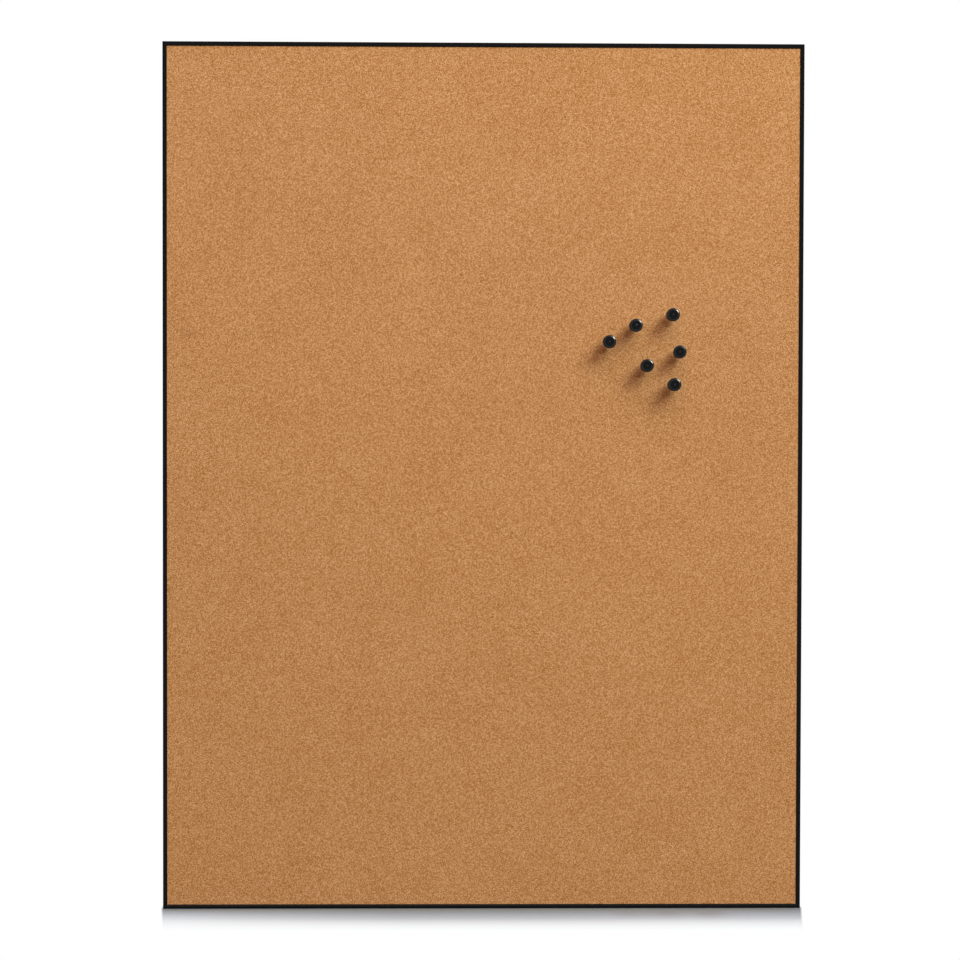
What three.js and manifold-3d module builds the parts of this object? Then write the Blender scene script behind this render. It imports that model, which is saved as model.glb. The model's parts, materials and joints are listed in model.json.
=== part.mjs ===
// Pin board: a cork face in a slim mitred aluminium frame, with six push pins and two ring hangers.
// Millimetres. X runs right and Z runs up as the board is seen from its front, which faces -Y.
// The rear lips of the frame lie on the wall plane Y = 0, and the origin is the board's middle there.
import * as THREE from 'three';
import * as BufferGeometryUtils from 'three/addons/utils/BufferGeometryUtils.js';
import Module from 'manifold-3d';

const wasm = await Module();
wasm.setup();

// Board
const BOARD_WIDTH = 444;
const BOARD_HEIGHT = 601;

// Panel of three sheets: cork face, soft fibre core, hard fibre back
const CORK_THICKNESS = 2;
const CORE_THICKNESS = 8;
const BACK_THICKNESS = 2;
const PANEL_EDGE_CLEARANCE = 0.4;
const PANEL_REAR_CLEARANCE = 0.3;

// Frame section: front lip, outer wall, rib behind the panel, and an open channel for the corner keys
const FACE_WIDTH = 3;
const FRONT_LIP_THICKNESS = 0.6;
const FACE_EDGE_RADIUS = 0.4;
const WALL_THICKNESS = 1.3;
const RIB_THICKNESS = 1.2;
const CHANNEL_WIDTH = 9;
const UPSTAND_THICKNESS = 1.2;
const REAR_LIP_THICKNESS = 1.1;
const MITRE_CLEARANCE = 0.2;

// Corner fixing: a threaded L key, a plain L shim under it, and two set screws that jack them apart
const KEY_ARM_LENGTH = 34;
const KEY_THICKNESS = 1.6;
const SHIM_ARM_LENGTH = 31;
const SHIM_THICKNESS = 0.8;
const KEY_SIDE_CLEARANCE = 0.3;
const KEY_CLIP = 1.5;
const JACKING_GAP = 1;
const SET_SCREW_DIAMETER = 4;
const SET_SCREW_RECESS = 0.4;
const SET_SCREW_CLEARANCE = 0.15;
const SET_SCREW_CHAMFER = 0.4;
const SET_SCREW_SOCKET_RADIUS = 1.1;
const SET_SCREW_FLOOR = 1.3;
const SET_SCREW_SLOT_CLEARANCE = 0.3;
const SET_SCREW_PLACE_SHARE = 0.68;

// Ring hanger: a strap curled round the straight bar of a D ring
const HANGER_SIDE_INSET = 82;
const HANGER_TOP_INSET = 74;
const STRAP_WIDTH = 12;
const STRAP_THICKNESS = 0.9;
const STRAP_CORNER_RADIUS = 4;
const STRAP_END = 6;
const CURL_GAP = 0.3;
const RING_WIRE_DIAMETER = 2.2;
const RING_CLEARANCE = 0.3;
const RING_END_PLAY = 1;
const RING_CORNER_RADIUS = 3;
const RING_SIDE_LENGTH = 2.4;
const RING_SEAM = 0.3;

// Rivets: domed head on the strap, upset tail behind the back sheet
const RIVET_SHANK_DIAMETER = 3;
const RIVET_HEAD_DIAMETER = 5.8;
const RIVET_HEAD_HEIGHT = 1.3;
const RIVET_TAIL_DIAMETER = 5;
const RIVET_TAIL_HEIGHT = 0.9;
const RIVET_CLEARANCE = 0.15;
const RIVET_TAIL_CLEARANCE = 0.3;
const RIVET_RING_CLEARANCE = 1.6;
const RIVET_PITCH = 12;

// Push pin: moulded head and steel needle, stuck in part of the way and free to be pushed home
const PIN_TOP_DIAMETER = 9.2;
const PIN_TOP_THICKNESS = 1.7;
const PIN_BEVEL_WIDTH = 1.1;
const PIN_BEVEL_HEIGHT = 0.45;
const PIN_GRIP_DIAMETER = 5;
const PIN_GRIP_LENGTH = 6;
const PIN_WAIST_DIAMETER = 4;
const PIN_FLARE_LENGTH = 0.9;
const PIN_BASE_DIAMETER = 8.2;
const PIN_BASE_THICKNESS = 1.3;
const PIN_EDGE_RADIUS = 0.4;
const PIN_STAND_OFF = 5.7;
const PIN_HOME_CLEARANCE = 0.3;
const NEEDLE_DIAMETER = 1.15;
const NEEDLE_POINT_LENGTH = 9.8;
const NEEDLE_TAPER_LENGTH = 2.6;
const NEEDLE_SHANK_LENGTH = 6;
const NEEDLE_SOCKET_CLEARANCE = 0.15;
const NEEDLE_HOLE_CLEARANCE = 0.2;

// Where the pins stand, as shares of the board's width and height from its middle,
// and how far each leans to the right and upwards, in degrees
const PIN_PLACE_SHARES = [
  { across: 0.1941, up: 0.1562, leanRight: 1.2, leanUp: 0.8 },
  { across: 0.2349, up: 0.175, leanRight: 1.6, leanUp: 0.6 },
  { across: 0.2927, up: 0.1872, leanRight: 1.4, leanUp: 1.0 },
  { across: 0.3045, up: 0.1441, leanRight: -0.6, leanUp: 2.0 },
  { across: 0.2528, up: 0.1287, leanRight: 1.0, leanUp: 1.2 },
  { across: 0.2952, up: 0.1071, leanRight: 1.5, leanUp: 0.9 },
];

// One overrun for every cutting tool
const CUT_OVERRUN = 1;

// Facets of a full turn and of a quarter arc
const TURN_FACETS = 20;
const PIN_FACETS = 16;
const NEEDLE_FACETS = 12;
const WIRE_FACETS = 10;
const HOLE_FACETS = 16;
const SOCKET_FACETS = 6;
const ARC_STEPS = 4;
const RING_STEPS = 48;
const QUARTER_TURN = Math.PI / 2;

// Depths of the layers, from the wall plane forwards
const CHANNEL_DEPTH = SHIM_THICKNESS + JACKING_GAP + KEY_THICKNESS;
const KEY_REAR_Y = -REAR_LIP_THICKNESS;
const RIB_REAR_Y = KEY_REAR_Y - CHANNEL_DEPTH;
const RIB_FRONT_Y = RIB_REAR_Y - RIB_THICKNESS;
const BACK_REAR_Y = RIB_FRONT_Y - PANEL_REAR_CLEARANCE;
const CORE_REAR_Y = BACK_REAR_Y - BACK_THICKNESS;
const CORK_REAR_Y = CORE_REAR_Y - CORE_THICKNESS;
const CORK_FRONT_Y = CORK_REAR_Y - CORK_THICKNESS;
const FRAME_FRONT_Y = CORK_FRONT_Y - FRONT_LIP_THICKNESS;
const FRAME_DEPTH = -FRAME_FRONT_Y;

const board = new THREE.Group();

function finish(color, roughness, metalness) {
  return () => new THREE.MeshStandardMaterial({ color, roughness, metalness });
}

const blackFrame = finish(0x1b1917, 0.45, 0.3);
const cork = finish(0xbd8857, 0.9, 0);
const fibreCore = finish(0xa88e68, 0.95, 0);
const hardFibre = finish(0x6b4a30, 0.7, 0);
const zincSteel = finish(0xb4b8bc, 0.35, 0.9);
const springSteel = finish(0x8c8f92, 0.4, 0.9);
const blackSteel = finish(0x2a2a2c, 0.4, 0.8);
const nickelWire = finish(0xc3c4c2, 0.25, 1);
const blackPlastic = finish(0x0c0d0f, 0.15, 0);
const pinSteel = finish(0xc9c9c6, 0.2, 1);

function addPiece(parent, name, geometry, makeFinish) {
  const piece = new THREE.Mesh(geometry, makeFinish());
  piece.name = name;
  parent.add(piece);
  return piece;
}

// Closed geometry to solid and back, for the few cuts that a profile can't give
function toSolid(geometry) {
  const bare = geometry.clone();
  bare.deleteAttribute('normal');
  bare.deleteAttribute('uv');
  const merged = BufferGeometryUtils.mergeVertices(bare);
  const corners = merged.index.array;
  const triangles = [];
  for (let first = 0; first < corners.length; first += 3) {
    const [a, b, c] = corners.slice(first, first + 3);
    if (a !== b && b !== c && c !== a) {
      triangles.push(a, b, c);
    }
  }
  const vertProperties = merged.attributes.position.array;
  const triVerts = Uint32Array.from(triangles);
  return new wasm.Manifold(new wasm.Mesh({ numProp: 3, vertProperties, triVerts }));
}

function toGeometry(solid) {
  const { vertProperties, triVerts } = solid.getMesh();
  const geometry = new THREE.BufferGeometry();
  geometry.setAttribute('position', new THREE.BufferAttribute(vertProperties, 3));
  geometry.setIndex(new THREE.BufferAttribute(triVerts, 1));
  geometry.computeVertexNormals();
  return geometry;
}

function cutFrom(geometry, cutters) {
  let solid = toSolid(geometry);
  for (const cutter of cutters) {
    solid = solid.subtract(toSolid(cutter));
  }
  return toGeometry(solid);
}

// A plate drawn as seen from the front, with its rear face on y = 0 and its front face towards -Y
function plate(outline, thickness) {
  const options = { depth: thickness, bevelEnabled: false, curveSegments: ARC_STEPS };
  return new THREE.ExtrudeGeometry(outline, options).rotateX(QUARTER_TURN);
}

// A bar of round section along Y, from one depth to another
function roundBar(radius, x, z, rearY, frontY, facets) {
  const length = rearY - frontY;
  const bar = new THREE.CylinderGeometry(radius, radius, length, facets);
  return bar.translate(x, (rearY + frontY) / 2, z);
}

function polygon(points) {
  return new THREE.Shape(points.map(([x, y]) => new THREE.Vector2(x, y)));
}

// Turned outline: from the axis out and back to the axis, listed from low to high
function turned(points, facets) {
  return new THREE.LatheGeometry(points.map(([radius, height]) => new THREE.Vector2(radius, height)), facets);
}

// Frame section, as distance in from the outer edge and distance back from the front
function frameSection() {
  const slotRear = FRAME_DEPTH + RIB_FRONT_Y;
  const ribRear = FRAME_DEPTH + RIB_REAR_Y;
  const lipFront = FRAME_DEPTH - REAR_LIP_THICKNESS;
  const channelInner = WALL_THICKNESS + CHANNEL_WIDTH;
  const sectionInner = channelInner + UPSTAND_THICKNESS;
  const slotHalf = SET_SCREW_DIAMETER / 2 + SET_SCREW_SLOT_CLEARANCE;
  const channelMiddle = WALL_THICKNESS + CHANNEL_WIDTH / 2;
  const radius = Math.min(FACE_EDGE_RADIUS, FRONT_LIP_THICKNESS, FACE_WIDTH / 2);
  const section = new THREE.Shape();
  section.moveTo(radius, 0);
  section.lineTo(FACE_WIDTH - radius, 0);
  section.absarc(FACE_WIDTH - radius, radius, radius, -QUARTER_TURN, 0, false);
  section.lineTo(FACE_WIDTH, FRONT_LIP_THICKNESS);
  section.lineTo(WALL_THICKNESS, FRONT_LIP_THICKNESS);
  section.lineTo(WALL_THICKNESS, slotRear);
  section.lineTo(sectionInner, slotRear);
  section.lineTo(sectionInner, FRAME_DEPTH);
  section.lineTo(channelMiddle + slotHalf, FRAME_DEPTH);
  section.lineTo(channelMiddle + slotHalf, lipFront);
  section.lineTo(channelInner, lipFront);
  section.lineTo(channelInner, ribRear);
  section.lineTo(WALL_THICKNESS, ribRear);
  section.lineTo(WALL_THICKNESS, lipFront);
  section.lineTo(channelMiddle - slotHalf, lipFront);
  section.lineTo(channelMiddle - slotHalf, FRAME_DEPTH);
  section.lineTo(0, FRAME_DEPTH);
  section.lineTo(0, radius);
  section.absarc(radius, radius, radius, Math.PI, Math.PI + QUARTER_TURN, false);
  return section;
}

// A length of the section with both ends cut at 45 degrees: each point steps in by its own distance
// from the outer edge, so the cut stays true through every leg of the section
function mitredRail(outerLength) {
  const options = { depth: outerLength, bevelEnabled: false, curveSegments: ARC_STEPS / 2 };
  const rail = new THREE.ExtrudeGeometry(frameSection(), options);
  rail.translate(0, 0, -outerLength / 2);
  const setBack = MITRE_CLEARANCE / Math.SQRT2;
  const places = rail.attributes.position;
  for (let index = 0; index < places.count; index += 1) {
    const along = places.getZ(index);
    const inward = places.getX(index);
    places.setZ(index, along - Math.sign(along) * (inward + setBack));
  }
  rail.computeVertexNormals();
  return rail;
}

function addFrame() {
  const sides = [
    { name: 'frame_left', x: -BOARD_WIDTH / 2, z: 0, length: BOARD_HEIGHT },
    { name: 'frame_top', x: 0, z: BOARD_HEIGHT / 2, length: BOARD_WIDTH },
    { name: 'frame_right', x: BOARD_WIDTH / 2, z: 0, length: BOARD_HEIGHT },
    { name: 'frame_bottom', x: 0, z: -BOARD_HEIGHT / 2, length: BOARD_WIDTH },
  ];
  sides.forEach((side, turn) => {
    const rail = addPiece(board, side.name, mitredRail(side.length), blackFrame);
    rail.position.set(side.x, FRAME_FRONT_Y, side.z);
    rail.rotation.y = turn * QUARTER_TURN;
  });
}

// An L blank that fits the channel round a corner, with the corner and the arm ends clipped.
// The board's corner is its origin, and its arms run along +X and +Z.
function cornerBlank(armLength) {
  const outer = WALL_THICKNESS + KEY_SIDE_CLEARANCE;
  const inner = WALL_THICKNESS + CHANNEL_WIDTH - KEY_SIDE_CLEARANCE;
  const clip = Math.min(KEY_CLIP, (inner - outer) / 3);
  return polygon([
    [outer + clip, outer],
    [armLength - clip, outer],
    [armLength, outer + clip],
    [armLength, inner - clip],
    [armLength - clip, inner],
    [inner, inner],
    [inner, armLength - clip],
    [inner - clip, armLength],
    [outer + clip, armLength],
    [outer, armLength - clip],
    [outer, outer + clip],
  ]);
}

function setScrewPlaces() {
  const along = KEY_ARM_LENGTH * SET_SCREW_PLACE_SHARE;
  const middle = WALL_THICKNESS + CHANNEL_WIDTH / 2;
  return [[along, middle], [middle, along]];
}

function cornerKey() {
  const outline = cornerBlank(KEY_ARM_LENGTH);
  const holeRadius = SET_SCREW_DIAMETER / 2 + SET_SCREW_CLEARANCE;
  for (const [x, z] of setScrewPlaces()) {
    const hole = new THREE.Path();
    hole.absarc(x, z, holeRadius, 0, 2 * Math.PI, true);
    outline.holes.push(hole);
  }
  const options = { depth: KEY_THICKNESS, bevelEnabled: false, curveSegments: HOLE_FACETS / 2 };
  return new THREE.ExtrudeGeometry(outline, options).rotateX(QUARTER_TURN);
}

// Cup-point set screw with a hexagon socket, its point on y = 0 and its socket towards +Y
function setScrew() {
  const radius = SET_SCREW_DIAMETER / 2;
  const length = CHANNEL_DEPTH - SHIM_THICKNESS + REAR_LIP_THICKNESS - SET_SCREW_RECESS;
  const chamfer = Math.min(SET_SCREW_CHAMFER, length / 3);
  const blank = turned([
    [0, 0],
    [radius - chamfer, 0],
    [radius, chamfer],
    [radius, length - chamfer],
    [radius - chamfer, length],
    [0, length],
  ], TURN_FACETS);
  const socketTop = length + CUT_OVERRUN;
  const socketRadius = Math.min(SET_SCREW_SOCKET_RADIUS, radius - chamfer);
  const socket = roundBar(socketRadius, 0, 0, socketTop, SET_SCREW_FLOOR, SOCKET_FACETS);
  return cutFrom(blank, [socket]);
}

function addCorners() {
  const corners = [
    { name: 'bottom_left', x: -1, z: -1 },
    { name: 'top_left', x: -1, z: 1 },
    { name: 'top_right', x: 1, z: 1 },
    { name: 'bottom_right', x: 1, z: -1 },
  ];
  corners.forEach((corner, turn) => {
    const group = new THREE.Group();
    group.position.set(corner.x * BOARD_WIDTH / 2, 0, corner.z * BOARD_HEIGHT / 2);
    group.rotation.y = turn * QUARTER_TURN;
    board.add(group);
    const key = addPiece(group, `corner_key_${corner.name}`, cornerKey(), zincSteel);
    key.position.y = KEY_REAR_Y;
    const shimBlank = plate(cornerBlank(SHIM_ARM_LENGTH), SHIM_THICKNESS);
    const shim = addPiece(group, `corner_shim_${corner.name}`, shimBlank, springSteel);
    shim.position.y = RIB_REAR_Y + SHIM_THICKNESS;
    setScrewPlaces().forEach(([x, z], index) => {
      const screw = addPiece(group, `set_screw_${corner.name}_${index + 1}`, setScrew(), blackSteel);
      screw.position.set(x, RIB_REAR_Y + SHIM_THICKNESS, z);
    });
  });
}

// Pins: each group has its +Z along the needle, out of the board, and its origin on the cork face
function pinPlaces() {
  return PIN_PLACE_SHARES.map((share) => {
    const place = new THREE.Object3D();
    place.position.set(share.across * BOARD_WIDTH, CORK_FRONT_Y, share.up * BOARD_HEIGHT);
    const pitch = QUARTER_TURN - THREE.MathUtils.degToRad(share.leanUp);
    place.rotation.set(pitch, THREE.MathUtils.degToRad(share.leanRight), 0);
    place.updateMatrix();
    return place;
  });
}

// Each hole takes its needle down to where the head meets the cork
function needleHoles() {
  const radius = NEEDLE_DIAMETER / 2 + NEEDLE_HOLE_CLEARANCE;
  const depth = NEEDLE_POINT_LENGTH - PIN_HOME_CLEARANCE + NEEDLE_HOLE_CLEARANCE;
  return pinPlaces().map((place) => {
    const hole = new THREE.CylinderGeometry(radius, radius, depth + CUT_OVERRUN, HOLE_FACETS);
    hole.rotateX(QUARTER_TURN);
    hole.translate(0, 0, (CUT_OVERRUN - depth) / 2);
    return hole.applyMatrix4(place.matrix);
  });
}

// Push pin head: two flanges joined by a waisted grip, with a socket for the needle
function pinHead() {
  const top = PIN_TOP_DIAMETER / 2;
  const base = PIN_BASE_DIAMETER / 2;
  const grip = PIN_GRIP_DIAMETER / 2;
  const waist = PIN_WAIST_DIAMETER / 2;
  const socket = NEEDLE_DIAMETER / 2 + NEEDLE_SOCKET_CLEARANCE;
  const edge = Math.min(PIN_EDGE_RADIUS, PIN_BASE_THICKNESS / 3, PIN_TOP_THICKNESS / 3);
  const gripLow = PIN_BASE_THICKNESS + PIN_FLARE_LENGTH;
  const gripHigh = gripLow + PIN_GRIP_LENGTH;
  const flangeLow = gripHigh + PIN_FLARE_LENGTH;
  const flangeHigh = flangeLow + PIN_TOP_THICKNESS;
  const face = flangeHigh + PIN_BEVEL_HEIGHT;
  const outline = new THREE.Path();
  outline.moveTo(0, NEEDLE_SHANK_LENGTH + NEEDLE_SOCKET_CLEARANCE);
  outline.lineTo(socket, NEEDLE_SHANK_LENGTH + NEEDLE_SOCKET_CLEARANCE);
  outline.lineTo(socket, 0);
  outline.lineTo(base - edge, 0);
  outline.quadraticCurveTo(base, 0, base, edge);
  outline.lineTo(base, PIN_BASE_THICKNESS - edge);
  outline.quadraticCurveTo(base, PIN_BASE_THICKNESS, base - edge, PIN_BASE_THICKNESS);
  outline.quadraticCurveTo(waist, PIN_BASE_THICKNESS, waist, gripLow);
  outline.quadraticCurveTo(waist, (gripLow + gripHigh) / 2, grip, gripHigh);
  outline.quadraticCurveTo(grip, flangeLow, top - edge, flangeLow);
  outline.quadraticCurveTo(top, flangeLow, top, flangeLow + edge);
  outline.lineTo(top, flangeHigh - edge);
  outline.quadraticCurveTo(top, flangeHigh, top - edge, flangeHigh);
  outline.lineTo(top - PIN_BEVEL_WIDTH, face);
  outline.lineTo(0, face);
  return new THREE.LatheGeometry(outline.getPoints(ARC_STEPS - 1), PIN_FACETS).rotateX(QUARTER_TURN);
}

function pinNeedle() {
  const radius = NEEDLE_DIAMETER / 2;
  const taper = Math.min(NEEDLE_TAPER_LENGTH, NEEDLE_POINT_LENGTH);
  return turned([
    [0, -NEEDLE_POINT_LENGTH],
    [radius, taper - NEEDLE_POINT_LENGTH],
    [radius, NEEDLE_SHANK_LENGTH],
    [0, NEEDLE_SHANK_LENGTH],
  ], NEEDLE_FACETS).rotateX(QUARTER_TURN);
}

function addPins() {
  pinPlaces().forEach((place, index) => {
    const pin = new THREE.Group();
    pin.position.copy(place.position);
    pin.rotation.copy(place.rotation);
    board.add(pin);
    const head = addPiece(pin, `push_pin_${index + 1}_head`, pinHead(), blackPlastic);
    const needle = addPiece(pin, `push_pin_${index + 1}_needle`, pinNeedle(), pinSteel);
    head.position.z = PIN_STAND_OFF;
    needle.position.z = PIN_STAND_OFF;
  });
}

// Hangers: the group's origin is under the ring's bar, on the rear face of the back sheet
const BARREL_INNER = RING_WIRE_DIAMETER / 2 + RING_CLEARANCE;
const BARREL_OUTER = BARREL_INNER + STRAP_THICKNESS;
const RING_BAR_HALF = STRAP_WIDTH / 2 + RING_END_PLAY;
const RING_HALF_WIDTH = RING_BAR_HALF + RING_CORNER_RADIUS;
const RING_SIDE_END = RING_CORNER_RADIUS + RING_SIDE_LENGTH;
const RING_REACH = RING_SIDE_END + RING_HALF_WIDTH + RING_WIRE_DIAMETER / 2;
const FIRST_RIVET_DROP = RING_REACH + RIVET_RING_CLEARANCE + RIVET_HEAD_DIAMETER / 2;
const RIVET_DROPS = [FIRST_RIVET_DROP, FIRST_RIVET_DROP + RIVET_PITCH];
const STRAP_DROP = FIRST_RIVET_DROP + RIVET_PITCH + STRAP_END;

function hangerPlaces() {
  const across = BOARD_WIDTH / 2 - HANGER_SIDE_INSET;
  const up = BOARD_HEIGHT / 2 - HANGER_TOP_INSET;
  return [
    { name: 'left', x: -across, z: up },
    { name: 'right', x: across, z: up },
  ];
}

// Strap seen from its side: flat on the back sheet, then curled round the ring's bar
function strapProfile() {
  const curlEnd = Math.PI + Math.asin(1 - (STRAP_THICKNESS + CURL_GAP) / BARREL_OUTER);
  const profile = new THREE.Shape();
  profile.moveTo(-STRAP_DROP, 0);
  profile.lineTo(0, 0);
  profile.absarc(0, BARREL_OUTER, BARREL_OUTER, -QUARTER_TURN, curlEnd, false);
  const tipX = BARREL_INNER * Math.cos(curlEnd);
  const tipY = BARREL_OUTER + BARREL_INNER * Math.sin(curlEnd);
  profile.lineTo(tipX, tipY);
  profile.absarc(0, BARREL_OUTER, BARREL_INNER, curlEnd, -QUARTER_TURN, true);
  profile.lineTo(-STRAP_DROP, STRAP_THICKNESS);
  return profile;
}

// Strap seen from behind: a rounded lower end
function strapOutline() {
  const half = STRAP_WIDTH / 2;
  const radius = Math.min(STRAP_CORNER_RADIUS, half);
  const top = BARREL_OUTER + CUT_OVERRUN;
  const outline = new THREE.Shape();
  outline.moveTo(half, top);
  outline.lineTo(-half, top);
  outline.absarc(radius - half, radius - STRAP_DROP, radius, Math.PI, Math.PI + QUARTER_TURN, false);
  outline.absarc(half - radius, radius - STRAP_DROP, radius, -QUARTER_TURN, 0, false);
  return outline;
}

function hangerStrap() {
  const options = { depth: STRAP_WIDTH, bevelEnabled: false, curveSegments: TURN_FACETS / 2 };
  const curled = new THREE.ExtrudeGeometry(strapProfile(), options);
  curled.translate(0, 0, -STRAP_WIDTH / 2);
  // The profile's x runs up the board, its y runs back from the sheet, and its depth runs across
  const across = new THREE.Vector3(-1, 0, 0);
  const up = new THREE.Vector3(0, 0, 1);
  const back = new THREE.Vector3(0, 1, 0);
  curled.applyMatrix4(new THREE.Matrix4().makeBasis(up, back, across));
  const outlineDepth = 2 * BARREL_OUTER + 2 * CUT_OVERRUN;
  const trim = plate(strapOutline(), outlineDepth);
  trim.translate(0, outlineDepth - CUT_OVERRUN, 0);
  let strap = toSolid(curled).intersect(toSolid(trim));
  const holeRadius = RIVET_SHANK_DIAMETER / 2 + RIVET_CLEARANCE;
  for (const drop of RIVET_DROPS) {
    const hole = roundBar(holeRadius, 0, -drop, STRAP_THICKNESS + CUT_OVERRUN, -CUT_OVERRUN, HOLE_FACETS);
    strap = strap.subtract(toSolid(hole));
  }
  return toGeometry(strap);
}

// A flat path in the plane of X and Z, as a curve in space
class UprightCurve extends THREE.Curve {
  constructor(path) {
    super();
    this.path = path;
  }

  getPoint(share, target = new THREE.Vector3()) {
    const point = this.path.getPoint(share);
    return target.set(point.x, 0, point.y);
  }
}

// D ring hanging from the middle of its bar, with the butt seam of the wire in the barrel
function hangerRing() {
  const route = new THREE.Path();
  route.moveTo(RING_SEAM / 2, 0);
  route.lineTo(RING_BAR_HALF, 0);
  route.absarc(RING_BAR_HALF, -RING_CORNER_RADIUS, RING_CORNER_RADIUS, QUARTER_TURN, 0, true);
  route.lineTo(RING_HALF_WIDTH, -RING_SIDE_END);
  route.absarc(0, -RING_SIDE_END, RING_HALF_WIDTH, 0, -Math.PI, true);
  route.lineTo(-RING_HALF_WIDTH, -RING_CORNER_RADIUS);
  route.absarc(-RING_BAR_HALF, -RING_CORNER_RADIUS, RING_CORNER_RADIUS, Math.PI, QUARTER_TURN, true);
  route.lineTo(-RING_SEAM / 2, 0);
  const section = new THREE.Shape();
  section.absarc(0, 0, RING_WIRE_DIAMETER / 2, 0, 2 * Math.PI, false);
  return new THREE.ExtrudeGeometry(section, {
    steps: RING_STEPS,
    curveSegments: WIRE_FACETS / 2,
    extrudePath: new UprightCurve(route),
  });
}

// Rivet along +Y, with the underside of its head on y = 0
function hangerRivet() {
  const shank = RIVET_SHANK_DIAMETER / 2;
  const tail = RIVET_TAIL_DIAMETER / 2;
  const head = RIVET_HEAD_DIAMETER / 2;
  const grip = STRAP_THICKNESS + BACK_THICKNESS;
  const points = [
    [0, -grip - RIVET_TAIL_HEIGHT],
    [(shank + tail) / 2, -grip - RIVET_TAIL_HEIGHT],
    [tail, -grip - RIVET_TAIL_HEIGHT / 2],
    [tail, -grip],
    [shank, -grip],
    [shank, 0],
  ];
  for (let step = 0; step < ARC_STEPS; step += 1) {
    const angle = QUARTER_TURN * step / ARC_STEPS;
    points.push([head * Math.cos(angle), RIVET_HEAD_HEIGHT * Math.sin(angle)]);
  }
  points.push([0, RIVET_HEAD_HEIGHT]);
  return turned(points, HOLE_FACETS);
}

function addHangers() {
  for (const place of hangerPlaces()) {
    const hanger = new THREE.Group();
    hanger.position.set(place.x, BACK_REAR_Y, place.z);
    board.add(hanger);
    addPiece(hanger, `hanger_strap_${place.name}`, hangerStrap(), zincSteel);
    const ring = addPiece(hanger, `hanger_ring_${place.name}`, hangerRing(), nickelWire);
    ring.position.y = BARREL_OUTER;
    RIVET_DROPS.forEach((drop, index) => {
      const rivet = addPiece(hanger, `hanger_rivet_${place.name}_${index + 1}`, hangerRivet(), nickelWire);
      rivet.position.set(0, STRAP_THICKNESS, -drop);
    });
  }
}

function rivetPlaces() {
  return hangerPlaces().flatMap((place) => RIVET_DROPS.map((drop) => [place.x, place.z - drop]));
}

// Panel sheets, drilled for the pins' needles and for the rivets
function sheetOutline() {
  const half = BOARD_WIDTH / 2 - WALL_THICKNESS - PANEL_EDGE_CLEARANCE;
  const rise = BOARD_HEIGHT / 2 - WALL_THICKNESS - PANEL_EDGE_CLEARANCE;
  return polygon([[-half, -rise], [half, -rise], [half, rise], [-half, rise]]);
}

function addPanel() {
  const shankHole = RIVET_SHANK_DIAMETER / 2 + RIVET_CLEARANCE;
  const tailHole = RIVET_TAIL_DIAMETER / 2 + RIVET_TAIL_CLEARANCE;
  const tailFloor = CORE_REAR_Y - RIVET_TAIL_HEIGHT - RIVET_TAIL_CLEARANCE;
  const shankHoles = rivetPlaces().map(([x, z]) => (
    roundBar(shankHole, x, z, BACK_REAR_Y + CUT_OVERRUN, CORE_REAR_Y - CUT_OVERRUN, HOLE_FACETS)
  ));
  const tailPockets = rivetPlaces().map(([x, z]) => (
    roundBar(tailHole, x, z, CORE_REAR_Y + CUT_OVERRUN, tailFloor, HOLE_FACETS)
  ));
  const sheets = [
    { name: 'cork_sheet', rear: CORK_REAR_Y, front: CORK_FRONT_Y, holes: [], material: cork },
    { name: 'core_board', rear: CORE_REAR_Y, front: CORK_REAR_Y, holes: tailPockets, material: fibreCore },
    { name: 'back_sheet', rear: BACK_REAR_Y, front: CORE_REAR_Y, holes: shankHoles, material: hardFibre },
  ];
  for (const sheet of sheets) {
    const blank = plate(sheetOutline(), sheet.rear - sheet.front).translate(0, sheet.rear, 0);
    addPiece(board, sheet.name, cutFrom(blank, [...sheet.holes, ...needleHoles()]), sheet.material);
  }
}

addFrame();
addPanel();
addCorners();
addHangers();
addPins();

export default board;
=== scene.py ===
import json
import math
import random

import bmesh
import bpy
from mathutils import Matrix, Vector
from mathutils.geometry import delaunay_2d_cdt


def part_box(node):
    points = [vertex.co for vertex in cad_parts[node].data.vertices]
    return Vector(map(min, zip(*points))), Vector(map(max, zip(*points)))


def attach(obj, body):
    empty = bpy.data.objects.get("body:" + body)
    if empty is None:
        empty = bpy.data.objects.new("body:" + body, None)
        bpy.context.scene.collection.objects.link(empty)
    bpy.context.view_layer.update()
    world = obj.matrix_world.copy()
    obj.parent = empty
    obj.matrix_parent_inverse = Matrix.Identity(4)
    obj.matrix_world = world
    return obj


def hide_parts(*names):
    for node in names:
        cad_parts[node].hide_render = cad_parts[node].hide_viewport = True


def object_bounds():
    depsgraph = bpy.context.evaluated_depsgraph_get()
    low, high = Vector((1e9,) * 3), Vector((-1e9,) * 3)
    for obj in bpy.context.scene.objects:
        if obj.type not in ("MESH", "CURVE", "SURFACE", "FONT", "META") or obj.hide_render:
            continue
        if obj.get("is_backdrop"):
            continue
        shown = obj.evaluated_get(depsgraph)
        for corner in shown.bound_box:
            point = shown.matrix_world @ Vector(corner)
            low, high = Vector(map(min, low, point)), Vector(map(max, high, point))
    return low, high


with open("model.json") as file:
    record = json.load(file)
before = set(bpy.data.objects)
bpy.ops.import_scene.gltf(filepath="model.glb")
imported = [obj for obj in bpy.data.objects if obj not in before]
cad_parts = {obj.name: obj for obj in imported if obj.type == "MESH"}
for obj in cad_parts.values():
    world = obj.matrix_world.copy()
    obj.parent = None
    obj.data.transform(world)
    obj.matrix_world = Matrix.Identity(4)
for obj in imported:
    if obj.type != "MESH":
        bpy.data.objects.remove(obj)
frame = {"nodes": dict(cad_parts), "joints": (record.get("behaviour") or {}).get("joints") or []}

cad_low, cad_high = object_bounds()


# Frame rails. Black powder-coated aluminium section, sawn at 45 degrees at both ends, with the
# saw cuts left bare. Each rail holds the panel in its slot and a corner key in its rear channel.

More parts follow.
